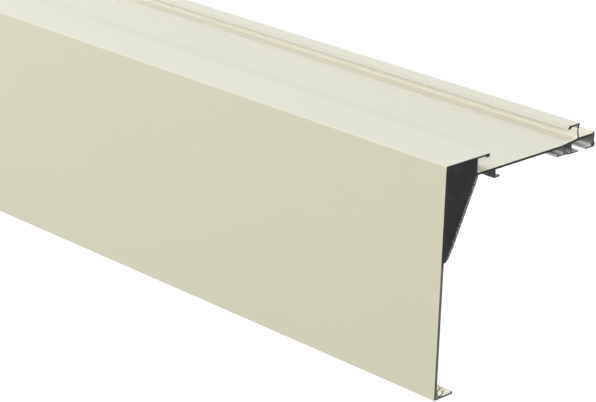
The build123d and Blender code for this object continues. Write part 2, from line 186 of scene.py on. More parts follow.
def layered(graph, below, above, mask):
    """Look with one finish under another: every quality passes over with the mask."""
    look = {"colour": mixed_colour(graph, below["colour"], above["colour"], mask)}
    for quality in ("roughness", "metallic", "height"):
        look[quality] = below[quality] + (above[quality] - below[quality]) * mask
    return look


def surface(graph, look, constants):
    """Principled shader with the look's colour, roughness, metal and bumps, on the output.
    The constants are set on its own sockets."""
    bump = graph.node("ShaderNodeBump", {}, {"Height": look["height"], "Distance": 1.0})
    inputs = {
        "Base Color": look["colour"],
        "Roughness": look["roughness"],
        "Metallic": look["metallic"],
        "Normal": bump,
    }
    shader = graph.node("ShaderNodeBsdfPrincipled", {}, {**inputs, **constants})
    graph.node("ShaderNodeOutputMaterial", {}, {"Surface": shader})


def powder_coat(graph, place):
    """Powder coat: a faint drift between two tones, and lumps like a fine orange peel."""
    drift = noise(graph, place, COAT_DRIFT_PER_METRE)
    peel = noise(graph, place, PEEL_PER_METRE, detail=1.0)
    return {
        "colour": mixed_colour(graph, CREAM, CREAM_SHADE, drift),
        "roughness": COAT_ROUGHNESS + COAT_ROUGHNESS_DRIFT * (drift - 0.5),
        "metallic": 0.0,
        "height": PEEL_HEIGHT * peel,
    }


def sawn_metal(graph, place, colour, glint):
    """Sawn metal: a fine grain that passes from the dull colour towards the glint."""
    grain = noise(graph, place, SAW_GRAIN_PER_METRE)
    shine = SAWN_SHINE + SAWN_SHINE_GRAIN * grain
    return {
        "colour": mixed_colour(graph, colour, glint, shine),
        "roughness": SAWN_ROUGHNESS + SAWN_ROUGHNESS_GRAIN * grain,
        "metallic": 1.0,
        "height": SAWN_DEPTH * shine,
    }


def at_sawn_ends(graph, place):
    """1 on the two end faces and 0 elsewhere."""
    return rise(graph, abs(coordinate(graph, place, "X")), END_X - SAWN_FROM, END_X - SAWN_FULL)


def in_the_scene(name, data):
    """New object with the data, linked to the scene."""
    made = bpy.data.objects.new(name, data)
    bpy.context.scene.collection.objects.link(made)
    return made


def smooth_up_to(mesh, crease_deg):
    """Smooth shading, but for edges whose faces meet at more than the crease angle."""
    mesh.shade_smooth()
    mesh.set_sharp_from_angle(angle=math.radians(crease_deg))


def softened_copy(node, edge):
    """Copy of a node's mesh with its loose triangles joined and its edges rounded."""
    mesh = bpy.data.meshes.new(node + "_softened")
    work = bmesh.new()
    work.from_mesh(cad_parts[node].data)
    bmesh.ops.remove_doubles(work, verts=work.verts, dist=MERGE_WITHIN)
    flat = math.radians(FLAT_WITHIN_DEG)
    bmesh.ops.dissolve_limit(work, angle_limit=flat, verts=work.verts, edges=work.edges)
    work.to_mesh(mesh)
    work.free()
    smooth_up_to(mesh, ROUNDED_FROM_DEG)
    piece = in_the_scene(node + "_softened", mesh)
    bevel = piece.modifiers.new("edges", "BEVEL")
    bevel.width = edge
    bevel.segments = 2
    bevel.angle_limit = math.radians(ROUNDED_FROM_DEG)
    bevel.harden_normals = True
    return piece


def stands_for(piece, node, body, material):
    """The piece takes a node's place on its body, with its material."""
    piece.data.materials.append(material)
    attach(piece, body)
    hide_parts(node)


def in_the_return(graph, place):
    """1 inside the return at the fascia's foot, where paler cream is painted light, and 0 elsewhere."""
    depth = coordinate(graph, place, "Y")
    behind = rise(graph, depth, SOLE_FRONT_Y - SOLE_FRONT_FADE, SOLE_FRONT_Y)
    above = rise(graph, depth.output("Z"), SOLE_TOP_Z - SOLE_TOP_FADE, SOLE_TOP_Z)
    return behind * (1.0 - above)


def sawn_fascia(graph, place):
    """The fascia's sawn end, darker beside the bracket than below it: the darker tone is painted shade
    of the bracket.
    """
    height = coordinate(graph, place, "Z")
    # 1 beside the bracket, where the sawn end gets painted shade.
    beside = rise(graph, height, PALE_SAWN_Z - PALE_SAWN_FADE, PALE_SAWN_Z)
    pale = sawn_metal(graph, place, PALE_SAWN, PALE_SAWN_GLINT)
    return layered(graph, pale, sawn_metal(graph, place, SAWN_GREY_PAINTED_SHADE, SAWN_GLINT), beside)


def coated_fascia_finish():
    """Cream powder coat everywhere but on the sawn ends, with painted light inside the return."""
    made = bpy.data.materials.new("cream_coat")
    graph = Graph(made)
    place = object_place(graph)
    coat = powder_coat(graph, place)
    # Painted light: the cream inside the return is made paler.
    coat["colour"] = mixed_colour(graph, coat["colour"], SOLE_PAINTED_LIGHT, in_the_return(graph, place))
    ends = at_sawn_ends(graph, place)
    surface(graph, layered(graph, coat, sawn_fascia(graph, place), ends), {"IOR": COAT_IOR})
    return made


stands_for(
    softened_copy("fascia", FASCIA_EDGE), "fascia", "root",
    coated_fascia_finish(),
)

# Top plate: the wide extrusion behind the fascia, with the hanging rail on top and the
# accessory and curtain channels below. The cream coat stops in the channels, where the
# powder hardly reaches, and leaves mill aluminium with the lines of the die.

FADE = 0.25 * MM
SHORT_FADE = 0.2 * MM
DARK_SAWN = (0.038, 0.039, 0.039, 1.0)
DARK_GLINT = (0.105, 0.107, 0.105, 1.0)
LEG_SAWN = (0.075, 0.076, 0.076, 1.0)
LEG_GLINT = (0.20, 0.203, 0.20, 1.0)
# Painted light and shade on the hanging rail: the corner and rail leg creams are painted light, the tip
# cream and the tip line are painted shade.
CORNER_PAINTED_LIGHT = (0.91, 0.89, 0.84, 1.0)
CORNER = (0.0, -2.5 * MM, -10.6 * MM)
CORNER_NEAR = 2.0 * MM
CORNER_FAR = 6.5 * MM
RAIL_LEG_PAINTED_LIGHT = (0.81, 0.80, 0.76, 1.0)
RAIL_FOOT_Y = 2.2 * MM
RAIL_FOOT_FADE = 0.5 * MM
RAIL_LEG_Y = 4.0 * MM
RAIL_LEG_FADE = 0.4 * MM
RAIL_LEG_TOP_Z = -1.3 * MM
TIP_PAINTED_SHADE = (0.60, 0.585, 0.51, 1.0)
TIP_BACK_Y = -4.9 * MM
TIP_TOP_Z = -0.3 * MM
TIP_UNDER_Z = -2.6 * MM
TIP_PAINTED_SHADE_LINE = (0.38, 0.37, 0.30, 1.0)
TIP_LINE_Z = -2.2 * MM
TIP_LINE_FADE = 0.1 * MM
MILL = (0.88, 0.885, 0.895, 1.0)
MILL_STREAK = (0.74, 0.745, 0.755, 1.0)
MILL_ROUGHNESS = 0.33
MILL_ROUGHNESS_LINES = 0.1
DIE_LINE_STRETCH = (0.02, 1.0, 1.0)
DIE_LINES_PER_METRE = 1500.0
DIE_LINE_DEPTH = 0.004 * MM
DUSTED = (0.74, 0.75, 0.77, 1.0)
# Dark tone towards the channel's roof: painted shade over the dust.
ROOF_PAINTED_SHADE = (0.17, 0.174, 0.185, 1.0)
DUSTED_ROUGHNESS = 0.5
DUSTED_METAL = 0.25
ROOF_SHADE_FROM_Z = -18.6 * MM
ROOF_SHADE_FULL_Z = -14.0 * MM
DUST_STREAK = 3.0 * MM
DUST_STREAKS_PER_METRE = 600.0
DUSTED_FROM_Y = -22.0 * MM
DUSTED_FADE = 10.0 * MM
PLATE_UNDERSIDE_Z = -12.8 * MM
RAMP_FRONT_Y = -11.15 * MM
RAMP_BACK_Y = 5.85 * MM
REAR_RISE = 1.8 * MM
BACK_LEG_Y = 20.45 * MM
PLATE_EDGE = 0.14 * MM


def stretched(graph, place, factors):
    """Place with each coordinate times its own factor."""
    return graph.node("ShaderNodeVectorMath", {"operation": "MULTIPLY"}, {0: place, 1: factors})


def mill_metal(graph, place):
    """Mill aluminium: streaks and grooves along the extrusion, from a stretched noise."""
    along = stretched(graph, place, DIE_LINE_STRETCH)
    lines = noise(graph, along, DIE_LINES_PER_METRE, detail=4.0)
    return {
        "colour": mixed_colour(graph, MILL, MILL_STREAK, lines),
        "roughness": MILL_ROUGHNESS + MILL_ROUGHNESS_LINES * (lines - 0.5),
        "metallic": 1.0,
        "height": DIE_LINE_DEPTH * lines,
    }


def dust_and_roof_shade(graph, place):
    """Mill aluminium under a thin dusting of powder, pale on the lips and up the legs. Towards
    the roof it turns darker, in streaks, with painted shade."""
    along = stretched(graph, place, DIE_LINE_STRETCH)
    thin = noise(graph, along, DUST_STREAKS_PER_METRE, detail=3.0)
    height = coordinate(graph, place, "Z")
    # 0 low in the channel and 1 towards the roof, where painted shade darkens the dust.
    climb = rise(graph, height + DUST_STREAK * (thin - 0.5), ROOF_SHADE_FROM_Z, ROOF_SHADE_FULL_Z)
    return {
        "colour": mixed_colour(graph, DUSTED, ROOF_PAINTED_SHADE, climb),
        "roughness": DUSTED_ROUGHNESS,
        "metallic": DUSTED_METAL,
        "height": DIE_LINE_DEPTH * thin,
    }


def behind_the_wide_channel(graph, place):
    """0 at the front of the wide channel and 1 from its back part on."""
    depth = coordinate(graph, place, "Y")
    return rise(graph, depth, DUSTED_FROM_Y - DUSTED_FADE, DUSTED_FROM_Y)


def below_the_plate(graph, place):
    """1 under the plate, whose level climbs over the ramp, and 0 on the back leg's face."""
    depth = coordinate(graph, place, "Y")
    ramp = {"Value": depth, "From Min": RAMP_FRONT_Y, "From Max": RAMP_BACK_Y, "To Max": REAR_RISE}
    level = depth.output("Z") - graph.node("ShaderNodeMapRange", {}, ramp)
    under = 1.0 - rise(graph, level, PLATE_UNDERSIDE_Z, PLATE_UNDERSIDE_Z + FADE)
    inside = 1.0 - rise(graph, depth, BACK_LEG_Y - FADE, BACK_LEG_Y)
    return under * inside


def under_the_rail_tip(graph, place):
    """1 on the plate right under the rail's tip, where painted light makes the cream paler. It fades
    out all round.
    """
    ends = {0: stretched(graph, place, (0.0, 1.0, 1.0)), 1: CORNER}
    distance = graph.node("ShaderNodeVectorMath", {"operation": "DISTANCE"}, ends, "Value")
    return 1.0 - rise(graph, distance, CORNER_NEAR, CORNER_FAR)


def on_the_rail_leg(graph, place):
    """1 on the front of the rail's leg and round its foot, where painted light makes the cream paler,
    and 0 elsewhere.
    """
    depth = coordinate(graph, place, "Y")
    behind = rise(graph, depth, RAIL_FOOT_Y - RAIL_FOOT_FADE, RAIL_FOOT_Y)
    ahead = 1.0 - rise(graph, depth, RAIL_LEG_Y, RAIL_LEG_Y + RAIL_LEG_FADE)
    above = rise(graph, depth.output("Z"), RAIL_LEG_TOP_Z, RAIL_LEG_TOP_Z + SHORT_FADE)
    return behind * ahead * (1.0 - above)


def on_the_rail_tip(graph, place, low):
    """1 on the slanting front face of the rail's tip down to a level, where painted shade darkens the
    cream, and 0 elsewhere.
    """
    depth = coordinate(graph, place, "Y")
    height = depth.output("Z")
    ahead = 1.0 - rise(graph, depth, TIP_BACK_Y - SHORT_FADE, TIP_BACK_Y)
    below = 1.0 - rise(graph, height, TIP_TOP_Z, TIP_TOP_Z + FADE)
    return ahead * below * rise(graph, height, low - TIP_LINE_FADE, low)


def rail_coat_painted_light_and_shade(graph, place):
    """Cream coat with painted light and shade: paler on the rail's leg and under its tip with
    painted light, darker on the tip itself with painted shade, and darkest in a line along its lower
    edge."""
    coat = powder_coat(graph, place)
    # Painted light on the leg and under the tip, painted shade on the tip and along its lower edge.
    tones = (
        (RAIL_LEG_PAINTED_LIGHT, on_the_rail_leg(graph, place)),
        (CORNER_PAINTED_LIGHT, under_the_rail_tip(graph, place)),
        (TIP_PAINTED_SHADE_LINE, on_the_rail_tip(graph, place, TIP_UNDER_Z)),
        (TIP_PAINTED_SHADE, on_the_rail_tip(graph, place, TIP_LINE_Z)),
    )
    for tone, mask in tones:
        coat["colour"] = mixed_colour(graph, coat["colour"], tone, mask)
    return coat


def plate_finish():
    """Cream coat above, with painted light and shade on the rail; mill aluminium below; dusted
    at the back, with painted shade towards the roof; and sawn ends.
    """
    made = bpy.data.materials.new("cream_coat_and_mill")
    graph = Graph(made)
    place = object_place(graph)
    under = below_the_plate(graph, place)
    behind = behind_the_wide_channel(graph, place)
    coat = rail_coat_painted_light_and_shade(graph, place)
    bare = layered(graph, mill_metal(graph, place), dust_and_roof_shade(graph, place), behind)
    look = layered(graph, coat, bare, under)
    legs = sawn_metal(graph, place, LEG_SAWN, LEG_GLINT)
    sawn = layered(graph, sawn_metal(graph, place, DARK_SAWN, DARK_GLINT), legs, under * behind)
    surface(graph, layered(graph, look, sawn, at_sawn_ends(graph, place)), {"IOR": COAT_IOR})
    return made


stands_for(
    softened_copy("top_plate", PLATE_EDGE), "top_plate", "root",
    plate_finish(),
)

# End brackets: black moulded nylon gussets between the fascia and the plate, one at each
# end, flush with the cut. The mould leaves rounded edges and a fine spark texture. Grey
# specks along the free edge at the cut are handling scuffs and a painted highlight of the edge.

BLACK = (0.010, 0.0105, 0.0105, 1.0)
BLACK_WORN = (0.022, 0.0225, 0.0225, 1.0)
BLACK_ROUGHNESS = 0.55
BLACK_IOR = 1.44
BLACK_TEXTURE = 0.02 * MM
WORN_PATCHES_PER_METRE = 60.0
WORN_FROM = 0.45
WORN_FULL = 0.75
TEXTURE_PER_METRE = 1600.0
TEXTURE_ROUGHNESS = 0.1
SCUFF_AND_HIGHLIGHT_GREY = (0.30, 0.30, 0.305, 1.0)
SCUFF_WIDTH = 2.6 * MM
SCUFF_FULL_WIDTH = 1.56 * MM
SCUFF_DEPTH = 1.82 * MM
SCUFF_FULL_DEPTH = 1.04 * MM
SCUFFS_PER_METRE = 900.0
SCUFF_FROM = 0.42
SCUFF_FULL = 0.56
BRACKET_NOSE = (-88.45 * MM, -14.4 * MM)
BRACKET_KNEE = (-106.85 * MM, -53.0 * MM)
BRACKET_EDGE = 0.9 * MM


def moulded_look(graph, place, colour, worn, roughness, texture_height):
    """Moulded plastic: a fine even texture, and a second tone in slow patches."""
    patches = noise(graph, place, WORN_PATCHES_PER_METRE, detail=3.0)
    grain = noise(graph, place, TEXTURE_PER_METRE)
    return {
        "colour": mixed_colour(graph, colour, worn, rise(graph, patches, WORN_FROM, WORN_FULL)),
        "roughness": roughness + TEXTURE_ROUGHNESS * (grain - 0.5),
        "metallic": 0.0,
        "height": texture_height * grain,
    }


def along_the_free_edge(graph, place):
    """1 in specks along the bracket's slanting edge at the cut end, and 0 elsewhere. How
    far a place reaches out is its dot product with the edge's outward normal."""
    run = np.subtract(BRACKET_NOSE, BRACKET_KNEE)
    run /= np.linalg.norm(run)
    outward = (0.0, run[1], -run[0])
    edge = outward[1] * BRACKET_NOSE[0] + outward[2] * BRACKET_NOSE[1]
    factors = {0: place, 1: outward}
    reach = graph.node("ShaderNodeVectorMath", {"operation": "DOT_PRODUCT"}, factors, "Value")
    along = abs(coordinate(graph, place, "X"))
    near_edge = rise(graph, reach, edge - SCUFF_WIDTH, edge - SCUFF_FULL_WIDTH)
    near_end = rise(graph, along, END_X - SCUFF_DEPTH, END_X - SCUFF_FULL_DEPTH)
    specks = rise(graph, noise(graph, place, SCUFFS_PER_METRE), SCUFF_FROM, SCUFF_FULL)
    return near_edge * near_end * specks


def bracket_finish():
    """Black nylon, with grey specks along its free edge: scuffs and a painted highlight of the edge."""
    made = bpy.data.materials.new("black_nylon")
    graph = Graph(made)
    place = object_place(graph)
    look = moulded_look(graph, place, BLACK, BLACK_WORN, BLACK_ROUGHNESS, BLACK_TEXTURE)
    scuffs = along_the_free_edge(graph, place)
    # Grey specks: scuffs and a painted highlight along the free edge.
    look["colour"] = mixed_colour(graph, look["colour"], SCUFF_AND_HIGHLIGHT_GREY, scuffs)
    surface(graph, look, {"IOR": BLACK_IOR})
    return made


black_nylon = bracket_finish()
for side in ("right", "left"):
    bracket = "end_bracket_" + side
    stands_for(softened_copy(bracket, BRACKET_EDGE), bracket, "root", black_nylon)

# Bracket screws: bright zinc self-tapping screws with cross-recessed pan heads. Two at
# each end go through the plate's upstand into the bracket's bosses.

ZINC = (0.60, 0.61, 0.62, 1.0)
ZINC_DULL = (0.44, 0.45, 0.46, 1.0)
ZINC_ROUGHNESS = 0.24
ZINC_ROUGHNESS_MOTTLE = 0.16
ZINC_MOTTLE_PER_METRE = 900.0
ZINC_MOTTLE_DEPTH = 0.004 * MM
PAN_R = 2.8 * MM
PAN_HEIGHT = 1.9 * MM
PAN_POWER = 2.6
TAPPING_R = 1.45 * MM
TAPPING_LENGTH = 9.0 * MM
TAPPING_PITCH = 1.3 * MM
TAPPING_DEPTH = 0.3 * MM
CROSS_HALF_WIDTH = 0.32 * MM
CROSS_REACH = 1.3 * MM
CROSS_DEPTH = 1.1 * MM
CROSS_TAPER = 0.45
CROSS_SOFTNESS = 0.12 * MM
RIDGE_SHARE = 0.55
CONE_SHARE = 0.75
CONE_PITCHES = 0.9
TAPPING_FROM_END = (7.0 * MM, 17.0 * MM)
TAPPING_TURNS_DEG = (63.0, 153.0)
CREASE_DEG = 40.0
AROUND = 64
HEAD_RINGS = 36
FIRST_HEAD_RING = 0.02
SHANK_RINGS = 90


def skin(name, rings, poles):
    """Closed mesh through rings of points: a grid wrapped around each ring, with a fan to
    a pole at both ends, or without poles wrapped from the last ring to the first."""
    count, around = rings.shape[:2]
    points = rings.reshape(-1, 3)
    steps = count - 1 if poles is not None else count
    first, turn = np.meshgrid(np.arange(steps), np.arange(around), indexing="ij")
    second = (first + 1) % count
    beside = (turn + 1) % around
    corners = (first * around + turn, first * around + beside,
               second * around + beside, second * around + turn)
    faces = np.stack(corners, axis=-1).reshape(-1, 4).tolist()
    if poles is not None:
        spoke = np.arange(around)
        near = (spoke + 1) % around
        low = np.full(around, len(points))
        far = (count - 1) * around
        faces += np.stack((low, near, spoke), axis=-1).tolist()
        faces += np.stack((low + 1, far + spoke, far + near), axis=-1).tolist()
        points = np.concatenate((points, poles))
    mesh = bpy.data.meshes.new(name)
    mesh.from_pydata(points.tolist(), [], faces)
    mesh.validate()
    work = bmesh.new()
    work.from_mesh(mesh)
    if work.calc_volume(signed=True) < 0:
        bmesh.ops.reverse_faces(work, faces=work.faces)
    work.to_mesh(mesh)
    work.free()
    smooth_up_to(mesh, CREASE_DEG)
    return in_the_scene(name, mesh)


def smooth_step(value, low, high):
    """0 below low, 1 above high and a smooth climb between them, for arrays."""
    share = np.clip((value - low) / (high - low), 0.0, 1.0)
    return share * share * (3.0 - 2.0 * share)


def cross_recess(x, y):
    """Depth of a cross recess: two crossed bars, deepest in the middle."""
    outside = CROSS_HALF_WIDTH + CROSS_SOFTNESS
    upright = 1.0 - smooth_step(np.abs(x), CROSS_HALF_WIDTH, outside)
    across = 1.0 - smooth_step(np.abs(y), CROSS_HALF_WIDTH, outside)
    reach = np.hypot(x, y)
    inside = 1.0 - smooth_step(reach, CROSS_REACH - CROSS_SOFTNESS, CROSS_REACH)
    taper = 1.0 - CROSS_TAPER * reach / CROSS_REACH
    return CROSS_DEPTH * taper * inside * np.maximum(across, upright)


def threaded_radius(height, angle, crest, depth, pitch, length):
    """Radius of a thread: a ridge that climbs one pitch a turn and runs out at both ends."""
    phase = (height / pitch + angle / (2 * np.pi)) % 1.0
    ridge = 1.0 - np.clip(np.abs(2.0 * phase - 1.0) / RIDGE_SHARE, 0.0, 1.0)
    runout = smooth_step(-height, 0.0, pitch) * (1.0 - smooth_step(-height, length - pitch, length))
    return crest - depth + depth * ridge * runout


def screw_rings(head, power, recess, thread):
    """Rings of a screw about Z, head up, with its bearing face at 0. The head follows
    (r / R)^power + (z / H)^power = 1 and is lowered to the recess; then come the bearing
    face, the threaded shank and a short cone."""
    head_r, head_height = head
    crest, depth, pitch, length = thread
    angle = np.linspace(0.0, 2 * np.pi, AROUND, endpoint=False)[None, :]
    lean = np.linspace(FIRST_HEAD_RING, 1.0, HEAD_RINGS)[:, None] * np.pi / 2
    r = head_r * np.sin(lean) + 0.0 * angle
    dome = head_height * (1.0 - np.sin(lean) ** power).clip(0.0) ** (1.0 / power)
    z = np.minimum(dome, head_height - recess(r * np.cos(angle), r * np.sin(angle)))
    down = np.linspace(0.0, 1.0, SHANK_RINGS)[:, None]
    shank_z = -length * down + 0.0 * angle
    cone = 1.0 - CONE_SHARE * smooth_step(-shank_z, length - CONE_PITCHES * pitch, length)
    shank_r = cone * threaded_radius(shank_z, angle, crest, depth, pitch, length)
    r = np.concatenate((r, shank_r))
    z = np.concatenate((z, shank_z))
    return np.stack((r * np.cos(angle), r * np.sin(angle), z), axis=-1)


def placed(rings, x_axis, z_axis, origin):
    """Rings turned so that their X and Z run along the given axes, and moved."""
    turn = np.array([x_axis, np.cross(z_axis, x_axis), z_axis], float)
    return rings @ turn + np.array(origin)


def zinc_finish():
    """Bright zinc: a slightly mottled metal."""
    made = bpy.data.materials.new("bright_zinc")
    graph = Graph(made)
    mottle = noise(graph, object_place(graph), ZINC_MOTTLE_PER_METRE, detail=3.0)
    look = {
        "colour": mixed_colour(graph, ZINC, ZINC_DULL, mottle),
        "roughness": ZINC_ROUGHNESS + ZINC_ROUGHNESS_MOTTLE * mottle,
        "metallic": 1.0,
        "height": ZINC_MOTTLE_DEPTH * mottle,
    }
    surface(graph, look, {})
    return made


def join(pieces, name):
    """One object from several, in place."""
    work = bmesh.new()
    for piece in pieces:
        work.from_mesh(piece.data)
        bpy.data.objects.remove(piece)
    mesh = bpy.data.meshes.new(name)
    work.to_mesh(mesh)
    work.free()
    smooth_up_to(mesh, CREASE_DEG)
    return in_the_scene(name, mesh)


def bracket_screws(side, sign):
    """The two screws of one end, heads to the back."""
    low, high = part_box("bracket_screws_" + side)
    thread = (TAPPING_R, TAPPING_DEPTH, TAPPING_PITCH, TAPPING_LENGTH)
    rings = screw_rings((PAN_R, PAN_HEIGHT), PAN_POWER, cross_recess, thread)
    screws = []
    for distance, turn_deg in zip(TAPPING_FROM_END, TAPPING_TURNS_DEG):
        origin = (sign * (END_X - distance), high.y - PAN_HEIGHT, (low.z + high.z) / 2)
        turn = math.radians(turn_deg)
        driven = placed(rings, (math.cos(turn), 0.0, math.sin(turn)), (0.0, 1.0, 0.0), origin)
        tip = (origin[0], origin[1] - TAPPING_LENGTH, origin[2])
        top = (origin[0], origin[1] + PAN_HEIGHT - CROSS_DEPTH, origin[2])
        screws.append(skin("tapping_screw", driven, np.array([top, tip])))
    return join(screws, "pan_head_screws_" + side)


zinc = zinc_finish()
for side, sign in (("right", 1), ("left", -1)):
    node = "bracket_screws_" + side
    stands_for(bracket_screws(side, sign), node, "root", zinc)

# End stops: moulded grey nylon blocks near both ends of the curtain channel, which keep
# the gliders on the track. Each is held by its own screw.

GREY = (0.30, 0.31, 0.32, 1.0)
GREY_WORN = (0.36, 0.37, 0.38, 1.0)
GREY_ROUGHNESS = 0.5
GREY_TEXTURE = 0.012 * MM
NYLON_IOR = 1.5
STOP_EDGE = 0.3 * MM


def moulded_finish(name, colour, worn, roughness, texture_height):
    """Material of a plain moulded piece."""
    made = bpy.data.materials.new(name)
    graph = Graph(made)
    look = moulded_look(graph, object_place(graph), colour, worn, roughness, texture_height)
    surface(graph, look, {"IOR": NYLON_IOR})
    return made


grey_nylon = moulded_finish("grey_nylon", GREY, GREY_WORN, GREY_ROUGHNESS, GREY_TEXTURE)
for side in ("right", "left"):
    stop = "end_stop_" + side
    stands_for(softened_copy(stop, STOP_EDGE), stop, "root", grey_nylon)

# End stop screws: zinc-plated slotted screws, driven up from below through each stop
# until the tip presses on the channel's roof and jams the stop on the lips.

CHEESE_R = 2.8 * MM
CHEESE_HEIGHT = 1.8 * MM
CHEESE_POWER = 7.0
MACHINE_R = 1.9 * MM
MACHINE_PITCH = 0.7 * MM
MACHINE_DEPTH = 0.28 * MM
SLOT_HALF_WIDTH = 0.4 * MM
SLOT_SOFTNESS = 0.08 * MM
SLOT_DEPTH = 0.8 * MM
SLOT_DIRECTION = (0.94, 0.342, 0.0)


def slot_recess(x, y):
    """Depth of a straight slot that runs along X right across the head, the same at any x."""
    outside = SLOT_HALF_WIDTH + SLOT_SOFTNESS
    return SLOT_DEPTH * (1.0 - smooth_step(np.abs(y), SLOT_HALF_WIDTH, outside))


def stop_screw(side):
    """The slotted screw of one stop, head down."""
    low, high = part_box("end_stop_screw_" + side)
    length = high.z - low.z - CHEESE_HEIGHT
    thread = (MACHINE_R, MACHINE_DEPTH, MACHINE_PITCH, length)
    rings = screw_rings((CHEESE_R, CHEESE_HEIGHT), CHEESE_POWER, slot_recess, thread)
    x = (low.x + high.x) / 2
    y = (low.y + high.y) / 2
    driven = placed(rings, SLOT_DIRECTION, (0.0, 0.0, -1.0), (x, y, low.z + CHEESE_HEIGHT))
    poles = np.array([(x, y, low.z + SLOT_DEPTH), (x, y, high.z)])
    return skin("slotted_screw_" + side, driven, poles)


for side in ("right", "left"):
    stands_for(stop_screw(side), "end_stop_screw_" + side, "root", zinc)

# Gliders: white nylon carriers, moulded in one with the collar and the eye that takes
# the curtain hook. The head runs in the channel and the neck in its slot.

WHITE = (0.78, 0.78, 0.74, 1.0)
WHITE_YELLOWED = (0.74, 0.73, 0.66, 1.0)
WHITE_ROUGHNESS = 0.4
WHITE_TEXTURE = 0.004 * MM
GLIDER_EDGE = 0.2 * MM

white_nylon = moulded_finish("white_nylon", WHITE, WHITE_YELLOWED, WHITE_ROUGHNESS, WHITE_TEXTURE)
glider_numbers = range(1, 1 + sum(name.endswith("_axle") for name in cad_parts))
for number in glider_numbers:
    body = f"glider_{number}_body"
    piece = softened_copy(body, GLIDER_EDGE)
    stands_for(piece, body, f"glider_{number}", white_nylon)

# Axles: zinc-plated steel pins, pressed into both wheels and free to turn in the glider.
# Both ends are rounded over.

AXLE_NOSE = 0.2 * MM
FIRST_NOSE_LEAN = 0.15
NOSE_RINGS = 7


def turned(name, radii, distances, axis_x, axis_z, closed_ends):
    """Surface of revolution about an axis along Y: each ring has its radius and place.
    Open ends join each other, so that the section goes round."""
    angle = np.linspace(0.0, 2 * np.pi, AROUND, endpoint=False)[None, :]
    r = np.array(radii)[:, None]
    y = np.array(distances)[:, None] + 0.0 * angle
    rings = np.stack((axis_x + r * np.cos(angle), y, axis_z + r * np.sin(angle)), axis=-1)
    ends = np.array([(axis_x, y[0, 0], axis_z), (axis_x, y[-1, 0], axis_z)])
    return skin(name, rings, ends if closed_ends else None)


def axle(number):
    """Pin whose ends are quarter rounds: the radius grows as the sine of the lean."""
    low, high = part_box(f"glider_{number}_axle")
    radius = (high.x - low.x) / 2
    lean = np.linspace(FIRST_NOSE_LEAN, np.pi / 2, NOSE_RINGS)
    nose_r = radius - AXLE_NOSE + AXLE_NOSE * np.sin(lean)
    nose_y = AXLE_NOSE * (1.0 - np.cos(lean))
    radii = np.concatenate((nose_r, nose_r[::-1]))
    distances = np.concatenate((low.y + nose_y, (high.y - nose_y)[::-1]))
    centre = ((low.x + high.x) / 2, (low.z + high.z) / 2)
    return turned(f"axle_pin_{number}", radii, distances, *centre, True)


for number in glider_numbers:
    stands_for(axle(number), f"glider_{number}_axle", f"wheels_{number}", zinc)

# Wheels: white nylon, with a crowned tread that rolls on the channel's lips, a rim, and
# a shallow dish round the hub on the outer side.

WHEEL_CROWN = 0.12 * MM
WHEEL_SHOULDER = 0.25 * MM
DISH_DEPTH = 0.45 * MM
DISH_WALL_LEAN = 0.1 * MM
RIM_LIP = 0.05 * MM
HUB_R = 1.35 * MM
RIM_R = 2.0 * MM
TREAD_RINGS = 9


def wheel(number, side, outward):
    """Ring round the axle. Its section goes out along the inner face, over the tread, whose
    radius falls with the square of the distance from its middle, and back over the rim,
    the dish and the hub."""
    low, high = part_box(f"glider_{number}_{side}_wheel")
    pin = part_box(f"glider_{number}_axle")
    bore = (pin[1].x - pin[0].x) / 2
    r = (high.x - low.x) / 2
    width = high.y - low.y
    inner = low.y if outward > 0 else high.y
    across = np.linspace(-1.0, 1.0, TREAD_RINGS)
    tread_r = r - WHEEL_CROWN * across ** 2
    tread_y = 0.5 * width + across * (0.5 * width - WHEEL_SHOULDER)
    section = [
        (bore, 0.0),
        (r - WHEEL_SHOULDER - WHEEL_CROWN, 0.0),
        *zip(tread_r, tread_y),
        (r - WHEEL_SHOULDER - WHEEL_CROWN, width),
        (RIM_R + RIM_LIP, width),
        (RIM_R - DISH_WALL_LEAN, width - DISH_DEPTH),
        (HUB_R + DISH_WALL_LEAN, width - DISH_DEPTH),
        (HUB_R, width),
        (bore, width),
    ]
    radii, distances = np.array(section).T
    centre = ((low.x + high.x) / 2, (low.z + high.z) / 2)
    places = inner + outward * distances
    return turned(f"wheel_{number}_{side}", radii, places, *centre, False)


for number in glider_numbers:
    for side, outward in (("front", -1), ("back", 1)):
        node = f"glider_{number}_{side}_wheel"
        stands_for(wheel(number, side, outward), node, f"wheels_{number}", white_nylon)

# Floor: a plain pale sheet well below the part, wide enough to fill every view. It takes
# the part's shadow, and the camera sees it a little brighter than it is lit.

FLOOR_DROP = 0.35
FLOOR_REACH = 12.0
FLOOR_POINTS = 3
FLOOR_WHITE = (0.36, 0.36, 0.36, 1.0)
FLOOR_ROUGHNESS = 0.9
FLOOR_LIFT = 0.74


def floor():
    """Flat square grid: x and y run evenly over the reach, and the height is constant."""
    reach = np.linspace(-FLOOR_REACH, FLOOR_REACH, FLOOR_POINTS)
    x, y = np.meshgrid(reach, reach)
    z = np.full_like(x, cad_box[0].z - FLOOR_DROP)
    index = np.arange(x.size).reshape(x.shape)
    corners = (index[:-1, :-1], index[:-1, 1:], index[1:, 1:], index[1:, :-1])
    faces = np.stack(corners, axis=-1).reshape(-1, 4)
    mesh = bpy.data.meshes.new("floor")
    mesh.from_pydata(np.stack((x, y, z), axis=-1).reshape(-1, 3).tolist(), [], faces.tolist())
    return in_the_scene("floor", mesh)


